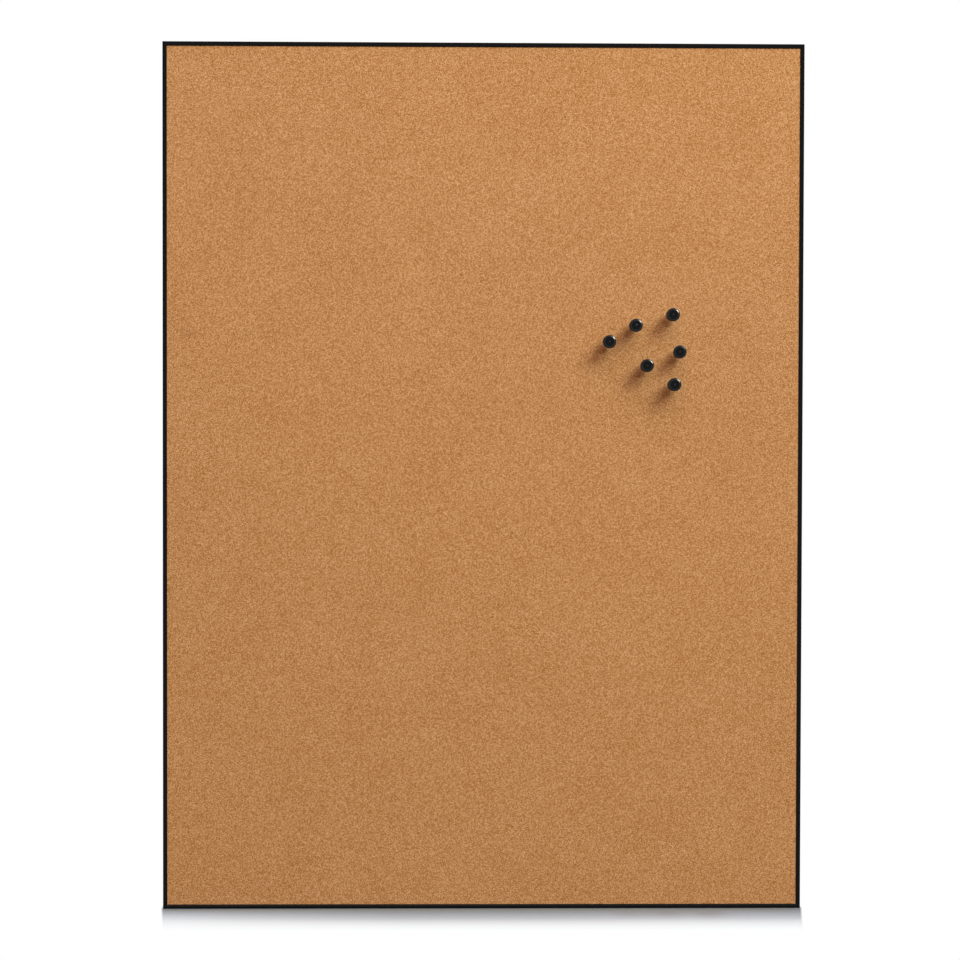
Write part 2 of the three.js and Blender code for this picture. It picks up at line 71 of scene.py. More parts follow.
RAILS = ("frame_left", "frame_top", "frame_right", "frame_bottom")
RAIL_EDGE = 0.00012
MITRE_CLOSING = 0.00011
SMOOTH_ANGLE = math.radians(32)
FLAT_ANGLE = math.radians(0.5)
WELD_DISTANCE = 0.000002
EDGE_SEGMENTS = 3
NORMAL_SLACK = 0.01


class Signal:
    """A socket in a material's tree: arithmetic adds Math nodes, and node() adds any other kind."""

    def __init__(self, tree, socket=None):
        self.tree = tree
        self.socket = socket

    def node(self, kind, settings=(), sockets=(), output=0):
        made = self.tree.nodes.new(kind)
        for name, value in dict(settings).items():
            if name == "stops":
                set_stops(made.color_ramp, value)
            else:
                setattr(made, name, value)
        for name, value in dict(sockets).items():
            if isinstance(value, Signal):
                self.tree.links.new(value.socket, made.inputs[name])
            else:
                made.inputs[name].default_value = value
        return Signal(self.tree, made.outputs[output] if made.outputs else None)

    def math(self, operation, *values):
        return self.node("ShaderNodeMath", {"operation": operation}, enumerate(values))

    def __add__(self, other):
        return self.math("ADD", self, other)

    def __sub__(self, other):
        return self.math("SUBTRACT", self, other)

    def __rsub__(self, other):
        return self.math("SUBTRACT", other, self)

    def __mul__(self, other):
        return self.math("MULTIPLY", self, other)

    __radd__ = __add__

    def __abs__(self):
        return self.math("ABSOLUTE", self)

    def highest(self, other):
        return self.math("MAXIMUM", self, other)

    def blend(self, low, high):
        """A colour between two colours, with this value as the share of the second."""
        # A Mix node's colours are its inputs 6 and 7 and its output 2.
        return self.node("ShaderNodeMix", {"data_type": "RGBA"}, {0: self, 6: low, 7: high}, 2)

    def ramp(self, *stops):
        return self.node("ShaderNodeValToRGB", {"stops": stops}, {0: self})

    def noise(self, grain, detail=2.0, roughness=0.5):
        """Cloudy variation on places, with grain as its size in metres."""
        sockets = {"Vector": self, "Scale": 1 / grain, "Detail": detail, "Roughness": roughness}
        return self.node("ShaderNodeTexNoise", {}, sockets)

    def cells(self, grain, feature="F1", output="Distance"):
        """Grains packed side by side, each about this many metres across."""
        sockets = {"Vector": self, "Scale": 1 / grain}
        return self.node("ShaderNodeTexVoronoi", {"feature": feature}, sockets, output)

    def stretched(self, x, y, z):
        """Places drawn out along the axes, for brushed and drawn metal."""
        return self.node("ShaderNodeVectorMath", {"operation": "MULTIPLY"}, {0: self, 1: (x, y, z)})


def set_stops(ramp, stops):
    while len(ramp.elements) < len(stops):
        ramp.elements.new(1.0)
    for element, (place, shade) in zip(ramp.elements, stops):
        element.position = place
        element.color = shade if isinstance(shade, tuple) else (shade, shade, shade, 1)


def screen(red, green, blue):
    """A colour as a screen shows it, 0 to 255, turned into light."""
    def light(value):
        share = value / 255
        return share / 12.92 if share <= 0.04045 else ((share + 0.055) / 1.055) ** 2.4
    return (light(red), light(green), light(blue), 1)


def cleared_tree(owner):
    """A start for new nodes in the emptied tree of a material or world."""
    owner.use_nodes = True
    owner.node_tree.nodes.clear()
    return Signal(owner.node_tree)


def finish(name, recipe):
    """A material whose surface sockets come from recipe(places), with height as the relief in metres."""
    material = bpy.data.materials.new(name)
    start = cleared_tree(material)
    places = start.node("ShaderNodeTexCoord", output="Object")
    sockets = recipe(places)
    height = sockets.pop("height", None)
    if height is not None:
        sockets["Normal"] = start.node("ShaderNodeBump", {}, {"Height": height, "Distance": 1.0})
    surface = start.node("ShaderNodeBsdfPrincipled", {}, sockets)
    start.node("ShaderNodeOutputMaterial", {}, {"Surface": surface})
    return material


def powder_coat(places):
    peel = places.noise(grain=0.0016, detail=3.0, roughness=0.55)
    speck = places.noise(grain=0.00035, detail=1.0)
    return {
        "Base Color": speck.blend(screen(9, 9, 9), screen(17, 16, 16)),
        "Roughness": peel * 0.14 + 0.24,
        "Specular IOR Level": 0.1,
        "height": peel * 0.00006 + speck * 0.000012,
    }


def saw_cut(places):
    lines = places.stretched(1, 0.08, 1).noise(grain=0.00025, detail=2.0, roughness=0.7)
    return {
        "Base Color": lines.blend(screen(150, 150, 152), screen(206, 206, 208)),
        "Metallic": 1.0,
        "Roughness": lines * 0.2 + 0.3,
        "height": lines * 0.00002,
    }


def dress(piece, body, slot, *nodes):
    """Fixes a finished piece to its body and hides the solids it stands for; its slot is not used."""
    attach(piece, body)
    if nodes:
        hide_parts(*nodes)


def mesh_from(shape, name):
    """The mesh of a finished bmesh, which is freed."""
    mesh = bpy.data.meshes.new(name)
    shape.to_mesh(mesh)
    shape.free()
    return mesh


def mesh_piece(name, mesh, *materials):
    piece = bpy.data.objects.new(name, mesh)
    bpy.context.scene.collection.objects.link(piece)
    for material in materials:
        mesh.materials.append(material)
    return piece


def smooth(mesh, angle=SMOOTH_ANGLE):
    """Soft shading over gentle bends, with a crisp line at every sharper one."""
    mesh.polygons.foreach_set("use_smooth", [True] * len(mesh.polygons))
    mesh.set_sharp_from_angle(angle=angle)


def rounded_copy(node, name, edge, *materials):
    """The node's own solid, with every sharp edge rounded as a real edge is."""
    shape = bmesh.new()
    shape.from_mesh(frame["nodes"][node].data)
    bmesh.ops.remove_doubles(shape, verts=shape.verts, dist=WELD_DISTANCE)
    bmesh.ops.dissolve_limit(shape, angle_limit=FLAT_ANGLE, verts=shape.verts, edges=shape.edges)
    mesh = mesh_from(shape, name)
    piece = mesh_piece(name, mesh, *materials)
    smooth(mesh)
    rounding = piece.modifiers.new("edge rounding", "BEVEL")
    rounding.width = edge
    rounding.segments = EDGE_SEGMENTS
    rounding.limit_method = "ANGLE"
    rounding.angle_limit = SMOOTH_ANGLE
    rounding.harden_normals = True
    rounding.material = 0
    return piece


coated_metal = finish("black powder coat", powder_coat)
cut_metal = finish("bare saw cut", saw_cut)
rails = {}

for node in RAILS:
    rail = rounded_copy(node, node + "_section", RAIL_EDGE, coated_metal, cut_metal)
    low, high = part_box(node)
    along = 0 if high.x - low.x > high.z - low.z else 2
    ends = set()
    for face in rail.data.polygons:
        slanted = abs(abs(face.normal.x) - abs(face.normal.z)) < NORMAL_SLACK
        if slanted and abs(face.normal.y) < NORMAL_SLACK:
            face.material_index = 1
            ends.update(face.vertices)
    for corner in ends:
        place = rail.data.vertices[corner].co
        place[along] += math.copysign(MITRE_CLOSING, place[along])
    dress(rail, "board", "frame", node)
    rails[node] = rail


# Cork sheet. Fine granules of ground cork pressed with binder into a 2 mm sheet and sanded flat,
# so granules have fallen out here and there. It is glued to the core and pierced by the pins.

GRAIN_SIZE = 0.0005
CORK_SEED = 20
PIT_COUNT = 2000
PIT_RADIUS_LOW = 0.0003
PIT_RADIUS_HIGH = 0.0009
PIT_DEPTH_SHARE = 0.35
PIT_CORNERS = 7
PIT_FLOOR_SHARE = 0.5
PIT_WOBBLE = 0.25
PIT_SPACING = 2
PIT_MARGIN = 0.006
PIN_NUMBERS = range(1, 7)
HOLE_RADIUS = 0.00078
HOLE_CORNERS = 16
HOLE_KEEPOUT = 4 * HOLE_RADIUS
HOLE_MARGIN_SHARE = 0.97
TRIANGLE_SLACK = 1e-7


def pressed_cork(places):
    granule = places.cells(GRAIN_SIZE, output="Color")
    chance = granule.node("ShaderNodeSeparateColor", {}, {0: granule})
    glued = places.cells(GRAIN_SIZE, "DISTANCE_TO_EDGE").ramp((0.0, 0.0), (0.1, 1.0))
    crumb = places.noise(grain=0.0016, detail=3.0, roughness=0.65)
    patch = places.noise(grain=0.035, detail=3.0, roughness=0.6)
    tone = chance * 0.83 + crumb * 0.1 + patch * 0.16 + glued * 0.12 - 0.155
    return {
        "Base Color": tone.ramp(
            (0.0, screen(150, 90, 35)),
            (0.5, screen(189, 131, 77)),
            (1.0, screen(226, 174, 126)),
        ),
        "Roughness": 0.85 + crumb * 0.1,
        "Specular IOR Level": 0.2,
        "height": places.cells(GRAIN_SIZE) * -0.00002 + crumb * 0.00003,
    }


def ring_of(corners, centre, radius, wobble=lambda: 1.0):
    """Places round a centre on the board's face, as across and up."""
    turns = [2 * math.pi * step / corners for step in range(corners)]
    reach = [radius * wobble() for _ in turns]
    return [(centre[0] + r * math.cos(t), centre[1] + r * math.sin(t)) for r, t in zip(reach, turns)]


def pin_axis(number):
    """The way out of the board along a pin's needle."""
    name = f"push_pin_{number}_pull"
    return Vector(next(joint["axis"] for joint in frame["joints"] if joint["name"] == name)).normalized()


def needle_tip(number):
    corners = frame["nodes"][f"push_pin_{number}_needle"].data.vertices
    return max((corner.co for corner in corners), key=lambda co: co.y).copy()


def crossing(number, depth):
    """Where a pin's needle passes a depth of the board, as across and up."""
    axis = pin_axis(number)
    tip = needle_tip(number)
    place = tip + axis * ((depth - tip.y) / axis.y)
    return place.x, place.z


def cork_pits(low, high, holes):
    """Irregular pits scattered over the face, clear of each other and of the holes."""
    draw = random.Random(CORK_SEED)
    pits = []
    taken = [(x, z, HOLE_KEEPOUT) for x, z in holes]

    def wobble():
        return draw.uniform(1 - PIT_WOBBLE, 1 + PIT_WOBBLE)

    while len(pits) < PIT_COUNT:
        radius = PIT_RADIUS_LOW + (PIT_RADIUS_HIGH - PIT_RADIUS_LOW) * draw.random() ** 2
        x = draw.uniform(low.x + PIT_MARGIN, high.x - PIT_MARGIN)
        z = draw.uniform(low.z + PIT_MARGIN, high.z - PIT_MARGIN)
        if all(math.hypot(x - a, z - b) > PIT_SPACING * (radius + other) for a, b, other in taken):
            taken.append((x, z, radius))
            rim = ring_of(PIT_CORNERS, (x, z), radius, wobble)
            floor = [(x + (a - x) * PIT_FLOOR_SHARE, z + (b - z) * PIT_FLOOR_SHARE) for a, b in rim]
            pits.append((rim, floor, radius * PIT_DEPTH_SHARE))
    return pits


def sheet_side(points, edges, holes):
    """Triangles over a face, with none inside the holes."""
    flat, _, faces, _, _, _ = delaunay_2d_cdt([Vector(p) for p in points], edges, [], 0, TRIANGLE_SLACK)
    kept = []
    for face in faces:
        x = sum(flat[i].x for i in face) / len(face)
        z = sum(flat[i].y for i in face) / len(face)
        if all(math.hypot(x - a, z - b) > HOLE_RADIUS * HOLE_MARGIN_SHARE for a, b in holes):
            kept.append(face)
    return flat, kept


def cork_mesh():
    """Both faces of the sheet, joined along its outline and round its holes, with pits in the front."""
    low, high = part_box("cork_sheet")
    shape = bmesh.new()
    rows = {}
    for depth, pitted in ((low.y, True), (high.y, False)):
        holes = [crossing(number, depth) for number in PIN_NUMBERS]
        points = [(low.x, low.z), (high.x, low.z), (high.x, high.z), (low.x, high.z)]
        rings = [list(range(len(points)))]
        for hole in holes:
            rings.append(list(range(len(points), len(points) + HOLE_CORNERS)))
            points += ring_of(HOLE_CORNERS, hole, HOLE_RADIUS)
        drops = [0.0] * len(points)
        for rim, floor, drop in cork_pits(low, high, holes) if pitted else []:
            for ring, down in ((rim, 0.0), (floor, drop)):
                rings.append(list(range(len(points), len(points) + len(ring))))
                points += ring
                drops += [down] * len(ring)
        edges = [(a, b) for ring in rings for a, b in zip(ring, ring[1:] + ring[:1])]
        flat, faces = sheet_side(points, edges, holes)
        made = [shape.verts.new((place.x, depth + drop, place.y)) for place, drop in zip(flat, drops)]
        for face in faces:
            shape.faces.new([made[i] for i in (face if pitted else face[::-1])])
        rows[pitted] = [[made[i] for i in ring] for ring in rings[:1 + len(holes)]]
    for front, back in zip(rows[True], rows[False]):
        for step, corner in enumerate(front):
            following = (step + 1) % len(front)
            shape.faces.new((corner, front[following], back[following], back[step]))
    bmesh.ops.recalc_face_normals(shape, faces=shape.faces)
    return mesh_from(shape, "cork sheet")


cork = finish("pressed cork", pressed_cork)
cork_face = mesh_piece("cork_face", cork_mesh(), cork)
smooth(cork_face.data)
dress(cork_face, "board", "cork", "cork_sheet")


# Core board and back sheet. A soft grey-brown fibre board that takes the needles, and a hard
# fibre sheet with the weave of the press screen on its rear. Both are glued to the cork.

PANEL_EDGE = 0.0003
SCREEN_PITCH = 0.0011
# Blender's wave texture repeats after this length at scale 1.
WAVE_PERIOD = 0.31


def soft_fibre(places):
    fibre = places.stretched(1, 1, 3).noise(grain=0.0008, detail=4.0, roughness=0.7)
    return {
        "Base Color": fibre.blend(screen(140, 116, 84), screen(188, 164, 126)),
        "Roughness": 0.95,
        "height": fibre * 0.0002,
    }


def hard_fibre(places):
    fibre = places.noise(grain=0.0012, detail=5.0, roughness=0.75)
    cloud = places.noise(grain=0.025, detail=3.0, roughness=0.6)
    wires = {"Vector": places, "Scale": WAVE_PERIOD / SCREEN_PITCH}
    across = places.node("ShaderNodeTexWave", {"bands_direction": "X"}, wires)
    up = places.node("ShaderNodeTexWave", {"bands_direction": "Z"}, wires)
    weave = across * up
    brown = (fibre * 0.7 + cloud * 0.3).blend(screen(84, 55, 34), screen(142, 100, 64))
    return {
        "Base Color": (weave * 0.25).blend(brown, screen(66, 43, 27)),
        "Roughness": 0.62 + fibre * 0.25,
        "Specular IOR Level": 0.35,
        "height": weave * -0.00012 + fibre * 0.00008,
    }


back_sheet = rounded_copy("back_sheet", "back_board", PANEL_EDGE, finish("hard fibre board", hard_fibre))
dress(back_sheet, "board", "back", "back_sheet")
core_sheet = rounded_copy("core_board", "core_slab", PANEL_EDGE, finish("soft fibre board", soft_fibre))
dress(core_sheet, "board", "core", "core_board")


# Corner keys, shims and set screws. A zinc-plated steel L with two threads lies over a plain
# spring steel L in the rails' rear channel, and the screws jack the pair apart to lock the mitre.

CORNERS = ("bottom_left", "top_left", "top_right", "bottom_right")
KEY_EDGE = 0.0002
SHIM_EDGE = 0.0001
SCREW_RADIUS = 0.002
SCREW_CORE_RADIUS = 0.00168
SCREW_PITCH = 0.0007
SCREW_POINT = 0.0004
SCREW_TOP_RADIUS = 0.94 * SCREW_CORE_RADIUS
CUP_RIM_RADIUS = 0.8 * SCREW_CORE_RADIUS
CUP_HOLLOW_RADIUS = 0.5 * SCREW_CORE_RADIUS
SOCKET_FLATS = 0.002
SOCKET_MOUTH_RADIUS = 0.64 * SOCKET_FLATS
SOCKET_DEPTH = 0.0018
SCREW_SEGMENTS = 48
THREAD_CREST_SHARE = 1.25
THREAD_RINGS_PER_TURN = 8


def zinc_plate(places):
    stain = places.noise(grain=0.006, detail=4.0, roughness=0.65)
    brush = places.stretched(1, 1, 6).noise(grain=0.0006, detail=2.0)
    return {
        "Base Color": stain.blend(screen(168, 172, 178), screen(206, 206, 200)),
        "Metallic": 1.0,
        "Roughness": stain * 0.22 + brush * 0.1 + 0.16,
        "height": brush * 0.00002,
    }


def spring_steel(places):
    heat = places.noise(grain=0.009, detail=3.0, roughness=0.6)
    return {
        "Base Color": heat.blend(screen(92, 98, 112), screen(146, 140, 134)),
        "Metallic": 1.0,
        "Roughness": heat * 0.15 + 0.25,
    }


def blackened_steel(places):
    oil = places.noise(grain=0.0012, detail=3.0)
    return {
        "Base Color": oil.blend(screen(30, 30, 33), screen(62, 60, 58)),
        "Metallic": 0.8,
        "Roughness": oil * 0.2 + 0.28,
    }


def spun(name, rings, segments, place, axis, *materials):
    """A turned piece. A ring is its radius and its height, as numbers or as functions of the turn."""
    shape = bmesh.new()
    turns = [2 * math.pi * step / segments for step in range(segments)]
    rows = []
    for radius, height in rings:
        if radius == 0:
            rows.append([shape.verts.new((0, 0, height))] * segments)
            continue
        row = []
        for turn in turns:
            r = radius(turn) if callable(radius) else radius
            h = height(turn) if callable(height) else height
            row.append(shape.verts.new((r * math.cos(turn), r * math.sin(turn), h)))
        rows.append(row)
    for lower, upper in zip(rows, rows[1:]):
        for step in range(segments):
            following = (step + 1) % segments
            corners = [lower[step], lower[following], upper[following], upper[step]]
            corners = [corner for index, corner in enumerate(corners) if corner not in corners[:index]]
            if len(corners) > 2:
                shape.faces.new(corners)
    bmesh.ops.recalc_face_normals(shape, faces=shape.faces)
    turn = Vector((0, 0, 1)).rotation_difference(axis).to_matrix().to_4x4()
    shape.transform(Matrix.Translation(place) @ turn)
    mesh = mesh_from(shape, name)
    smooth(mesh)
    return mesh_piece(name, mesh, *materials)


def hexagon(flats):
    """Radius of a hexagon at each turn, from its width across flats."""
    def radius(turn):
        off_flat = (turn + math.pi / 6) % (math.pi / 3) - math.pi / 6
        return flats / 2 / math.cos(off_flat)
    return radius


def threaded(height):
    """Radius round one ring of a right-hand thread."""
    def radius(turn):
        phase = (height / SCREW_PITCH - turn / (2 * math.pi)) % 1
        ridge = 1 - abs(2 * phase - 1)
        return SCREW_CORE_RADIUS + (SCREW_RADIUS - SCREW_CORE_RADIUS) * min(1, THREAD_CREST_SHARE * ridge)
    return radius


def set_screw_rings(length):
    thread_low = SCREW_POINT
    thread_high = length - SCREW_POINT / 2
    count = round((thread_high - thread_low) / SCREW_PITCH * THREAD_RINGS_PER_TURN)
    heights = [thread_low + (thread_high - thread_low) * step / count for step in range(count + 1)]
    socket = hexagon(SOCKET_FLATS)
    rings = [(0, SCREW_POINT / 2), (CUP_HOLLOW_RADIUS, 0.0), (CUP_RIM_RADIUS, 0.0)]
    rings += [(threaded(height), height) for height in heights]
    rings += [(SCREW_TOP_RADIUS, length), (SOCKET_MOUTH_RADIUS, length)]
    rings += [(socket, length - SCREW_POINT / 3), (socket, length - SOCKET_DEPTH)]
    rings += [(0, length - SOCKET_DEPTH - SCREW_POINT)]
    return rings


plated = finish("zinc plate", zinc_plate)
sprung = finish("spring steel", spring_steel)
blackened = finish("blackened steel", blackened_steel)

for corner in CORNERS:
    key = rounded_copy(f"corner_key_{corner}", f"key_{corner}", KEY_EDGE, plated)
    dress(key, "board", "corner_key", f"corner_key_{corner}")
    shim = rounded_copy(f"corner_shim_{corner}", f"shim_{corner}", SHIM_EDGE, sprung)
    dress(shim, "board", "corner_shim", f"corner_shim_{corner}")
    for number in (1, 2):
        node = f"set_screw_{corner}_{number}"
        low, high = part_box(node)
        foot = Vector(((low.x + high.x) / 2, low.y, (low.z + high.z) / 2))
        rings = set_screw_rings(high.y - low.y)
        screw = spun(f"screw_{corner}_{number}", rings, SCREW_SEGMENTS, foot, Vector((0, 1, 0)), blackened)
        dress(screw, "board", "set_screw", node)


# Hanger straps and rivets. A strip of zinc-plated steel, its upper end curled round the ring's
# bar, lies flat on the back sheet under two nickel-plated rivets clenched inside the core.

SIDES = ("left", "right")
STRAP_EDGE = 0.00015
RIVET_SHANK = 0.0015
RIVET_HEAD = 0.0029
RIVET_HEAD_HEIGHT = 0.0013
RIVET_TAIL = 0.0025
RIVET_TAIL_HEIGHT = 0.0009
RIVET_SEAT = 0.97 * RIVET_HEAD
RIVET_RIM_SHARE = 0.08
RIVET_DOME_STEPS = 12
RIVET_SEGMENTS = 48


def nickel_plate(places):
    rub = places.noise(grain=0.002, detail=3.0, roughness=0.6)
    return {
        "Base Color": rub.blend(screen(196, 192, 184), screen(224, 221, 214)),
        "Metallic": 1.0,
        "Roughness": rub * 0.18 + 0.12,
    }


def rivet_rings(length):
    shoulder = length - RIVET_HEAD_HEIGHT
    rings = [(0, 0.0), ((RIVET_SHANK + RIVET_TAIL) / 2, 0.0), (RIVET_TAIL, RIVET_TAIL_HEIGHT / 2)]
    rings += [(RIVET_TAIL, RIVET_TAIL_HEIGHT), (RIVET_SHANK, RIVET_TAIL_HEIGHT), (RIVET_SHANK, shoulder)]
    rings += [(RIVET_SEAT, shoulder)]
    for step in range(RIVET_DOME_STEPS):
        turn = math.pi / 2 * step / RIVET_DOME_STEPS
        rise = RIVET_RIM_SHARE + (1 - RIVET_RIM_SHARE) * math.sin(turn)
        rings.append((RIVET_HEAD * math.cos(turn), shoulder + RIVET_HEAD_HEIGHT * rise))
    return rings + [(0, length)]


nickel = finish("nickel plate", nickel_plate)

for side in SIDES:
    strap = rounded_copy(f"hanger_strap_{side}", f"strap_{side}", STRAP_EDGE, plated)
    dress(strap, "board", "strap", f"hanger_strap_{side}")
    for number in (1, 2):
        node = f"hanger_rivet_{side}_{number}"
        low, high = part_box(node)
        foot = Vector(((low.x + high.x) / 2, low.y, (low.z + high.z) / 2))
        rings = rivet_rings(high.y - low.y)
        rivet = spun(f"rivet_{side}_{number}", rings, RIVET_SEGMENTS, foot, Vector((0, 1, 0)), nickel)
        dress(rivet, "board", "rivet", node)


# Hanger rings. Nickel-plated steel wire bent to a D, its straight bar running in the strap's
# barrel with the butt seam hidden there. The ring swings freely and hangs over the strap.

WIRE_RADIUS = 0.0011
RING_CORNER = 0.003
RING_SEAM = 0.0003
RING_SIDES = 20
RING_STEP = 0.0005


def ring_route(half_width, reach):
    """The wire's middle line from seam to seam, as across and down from the bar."""
    bar = half_width - RING_CORNER
    side_end = reach - half_width
    route = [(RING_SEAM / 2, 0.0), (bar, 0.0)]

    def arc(centre, radius, first, last):
        count = max(2, round(abs(last - first) * radius / RING_STEP))
        for step in range(1, count + 1):
            turn = first + (last - first) * step / count
            route.append((centre[0] + radius * math.sin(turn), centre[1] - radius * math.cos(turn)))

    arc((bar, RING_CORNER), RING_CORNER, 0, math.pi / 2)
    route.append((half_width, side_end))
    arc((0, side_end), half_width, math.pi / 2, 3 * math.pi / 2)
    route.append((-half_width, RING_CORNER))
    arc((-bar, RING_CORNER), RING_CORNER, 3 * math.pi / 2, 2 * math.pi)
    return route + [(-RING_SEAM / 2, 0.0)]


def wire_mesh(name, route, centre):
    """Round wire along a flat route that lies in the plane of the board."""
    shape = bmesh.new()
    places = [centre + Vector((across, 0, -down)) for across, down in route]
    rows = []
    for index, place in enumerate(places):
        before = places[max(index - 1, 0)]
        after = places[min(index + 1, len(places) - 1)]
        along = (after - before).normalized()
        outward = along.cross(Vector((0, 1, 0)))
        turns = [2 * math.pi * step / RING_SIDES for step in range(RING_SIDES)]
        row = [place + WIRE_RADIUS * (outward * math.cos(t) + Vector((0, math.sin(t), 0))) for t in turns]
        rows.append([shape.verts.new(corner) for corner in row])
    for lower, upper in zip(rows, rows[1:]):
        for step in range(RING_SIDES):
            following = (step + 1) % RING_SIDES
            shape.faces.new((lower[step], lower[following], upper[following], upper[step]))
    shape.faces.new(rows[0])
    shape.faces.new(rows[-1])
    bmesh.ops.recalc_face_normals(shape, faces=shape.faces)
    mesh = mesh_from(shape, name)
    smooth(mesh)
    return mesh


for side in SIDES:
    node = f"hanger_ring_{side}"
    low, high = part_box(node)
    bar_middle = Vector(((low.x + high.x) / 2, (low.y + high.y) / 2, high.z - WIRE_RADIUS))
    route = ring_route((high.x - low.x) / 2 - WIRE_RADIUS, high.z - low.z - 2 * WIRE_RADIUS)
    ring = mesh_piece(f"ring_wire_{side}", wire_mesh(node + " wire", route, bar_middle), nickel)
    dress(ring, f"ring_{side}", "ring", node)


# Push pins. A glossy black head, moulded in one shot with two flanges and a waisted grip, is
# pressed on a plated steel needle. The needle goes through the cork and into the core.

PIN_SEGMENTS = 64
TOP_RADIUS = 0.0046
TOP_THICKNESS = 0.0017
BEVEL_WIDTH = 0.0011
BEVEL_HEIGHT = 0.00045
BEVEL_BULGE = 0.00003
DISH_RADIUS = 0.0019
DISH_DEPTH = 0.00006
GATE_RADIUS = 0.0007
# Width of the rim ring that is painted lighter, as scuffs and as a painted sheen.
PAINTED_SHEEN_WIDTH = 0.0016
GRIP_RADIUS = 0.0025
GRIP_LENGTH = 0.006
WAIST_RADIUS = 0.002
FLARE_LENGTH = 0.0009
BASE_RADIUS = 0.0041
BASE_THICKNESS = 0.0013
EDGE_RADIUS = 0.0004
NEEDLE_RADIUS = 0.000575
POINT_LENGTH = 0.0098
TAPER_LENGTH = 0.0026
SHANK_LENGTH = 0.006
SOCKET_RADIUS = 0.00072
HEAD_LENGTH = BASE_THICKNESS + GRIP_LENGTH + 2 * FLARE_LENGTH + TOP_THICKNESS + BEVEL_HEIGHT
CURVE_STEPS = 8


def black_plastic(places):
    flow = places.noise(grain=0.004, detail=2.0)
    dust = places.noise(grain=0.0004, detail=2.0)
    return {
        "Base Color": flow.blend(screen(2, 2, 3), screen(7, 7, 8)),
        "Roughness": dust * 0.06 + 0.07,
        "Specular IOR Level": 0.11,
        "height": flow * 0.00002,
    }


# Black plastic painted lighter for the head's rim and gate: partly scuffs, partly a painted sheen standing
# in for the light ring those edges reflect.
def scuffed_plastic_with_painted_sheen(places):
    scuff_and_sheen = places.noise(grain=0.0008, detail=3.0, roughness=0.65)
    return {
        "Base Color": scuff_and_sheen.blend(screen(22, 22, 23), screen(38, 38, 39)),
        "Roughness": scuff_and_sheen * 0.08 + 0.08,
        "Specular IOR Level": 0.14,
        "height": scuff_and_sheen * 0.000006,
    }


def needle_steel(places):
    drawn = places.stretched(1, 0.1, 1).noise(grain=0.0003, detail=2.0)
    return {
        "Base Color": drawn.blend(screen(176, 176, 174), screen(218, 217, 212)),
        "Metallic": 1.0,
        "Roughness": drawn * 0.15 + 0.12,
    }


def curve(start, control, end):
    """Rings along a quadratic curve, without its start."""
    for step in range(1, CURVE_STEPS + 1):
        t = step / CURVE_STEPS
        weights = ((1 - t) ** 2, 2 * t * (1 - t), t * t)
        yield tuple(sum(w * p[axis] for w, p in zip(weights, (start, control, end))) for axis in (0, 1))


def pin_head_rings():
    grip_low = BASE_THICKNESS + FLARE_LENGTH
    grip_high = grip_low + GRIP_LENGTH
    flange_low = grip_high + FLARE_LENGTH
    flange_high = flange_low + TOP_THICKNESS
    face = flange_high + BEVEL_HEIGHT

    def bevel(share):
        """A place on the way over the bevel, from 0 at its outer edge to 1 at its inner edge."""
        bulge = BEVEL_BULGE * 4 * share * (1 - share)
        return TOP_RADIUS - BEVEL_WIDTH * share + bulge, flange_high + BEVEL_HEIGHT * share + bulge

    rings = [(0, SHANK_LENGTH), (SOCKET_RADIUS, SHANK_LENGTH), (SOCKET_RADIUS, 0.0)]
    rings.append((BASE_RADIUS - EDGE_RADIUS, 0.0))
    for control, end in (
        ((BASE_RADIUS, 0.0), (BASE_RADIUS, EDGE_RADIUS)),
        ((BASE_RADIUS, BASE_THICKNESS / 2), (BASE_RADIUS, BASE_THICKNESS - EDGE_RADIUS)),
        ((BASE_RADIUS, BASE_THICKNESS), (BASE_RADIUS - EDGE_RADIUS, BASE_THICKNESS)),
        ((WAIST_RADIUS, BASE_THICKNESS), (WAIST_RADIUS, grip_low)),
        ((WAIST_RADIUS, (grip_low + grip_high) / 2), (GRIP_RADIUS, grip_high)),
        ((GRIP_RADIUS, flange_low), (TOP_RADIUS - EDGE_RADIUS, flange_low)),
        ((TOP_RADIUS, flange_low), (TOP_RADIUS, flange_low + EDGE_RADIUS)),
        ((TOP_RADIUS, (flange_low + flange_high) / 2), (TOP_RADIUS, flange_high - EDGE_RADIUS)),
        ((TOP_RADIUS, flange_high), bevel(0.2)),
        (bevel(0.5), bevel(0.85)),
        (bevel(1.0), (TOP_RADIUS - BEVEL_WIDTH - EDGE_RADIUS, face)),
        ((DISH_RADIUS + EDGE_RADIUS, face), (DISH_RADIUS, face)),
        ((DISH_RADIUS - EDGE_RADIUS, face), (DISH_RADIUS - 2 * EDGE_RADIUS, face - DISH_DEPTH)),
        ((GATE_RADIUS, face - DISH_DEPTH), (GATE_RADIUS, face - DISH_DEPTH)),
        ((GATE_RADIUS, face), (0, face)),
    ):
        rings += list(curve(rings[-1], control, end))
    return rings


gloss_black = finish("gloss black plastic", black_plastic)
scuffed_black_with_painted_sheen = finish("scuffed black plastic", scuffed_plastic_with_painted_sheen)
bright_needle = finish("needle steel", needle_steel)
heads = []

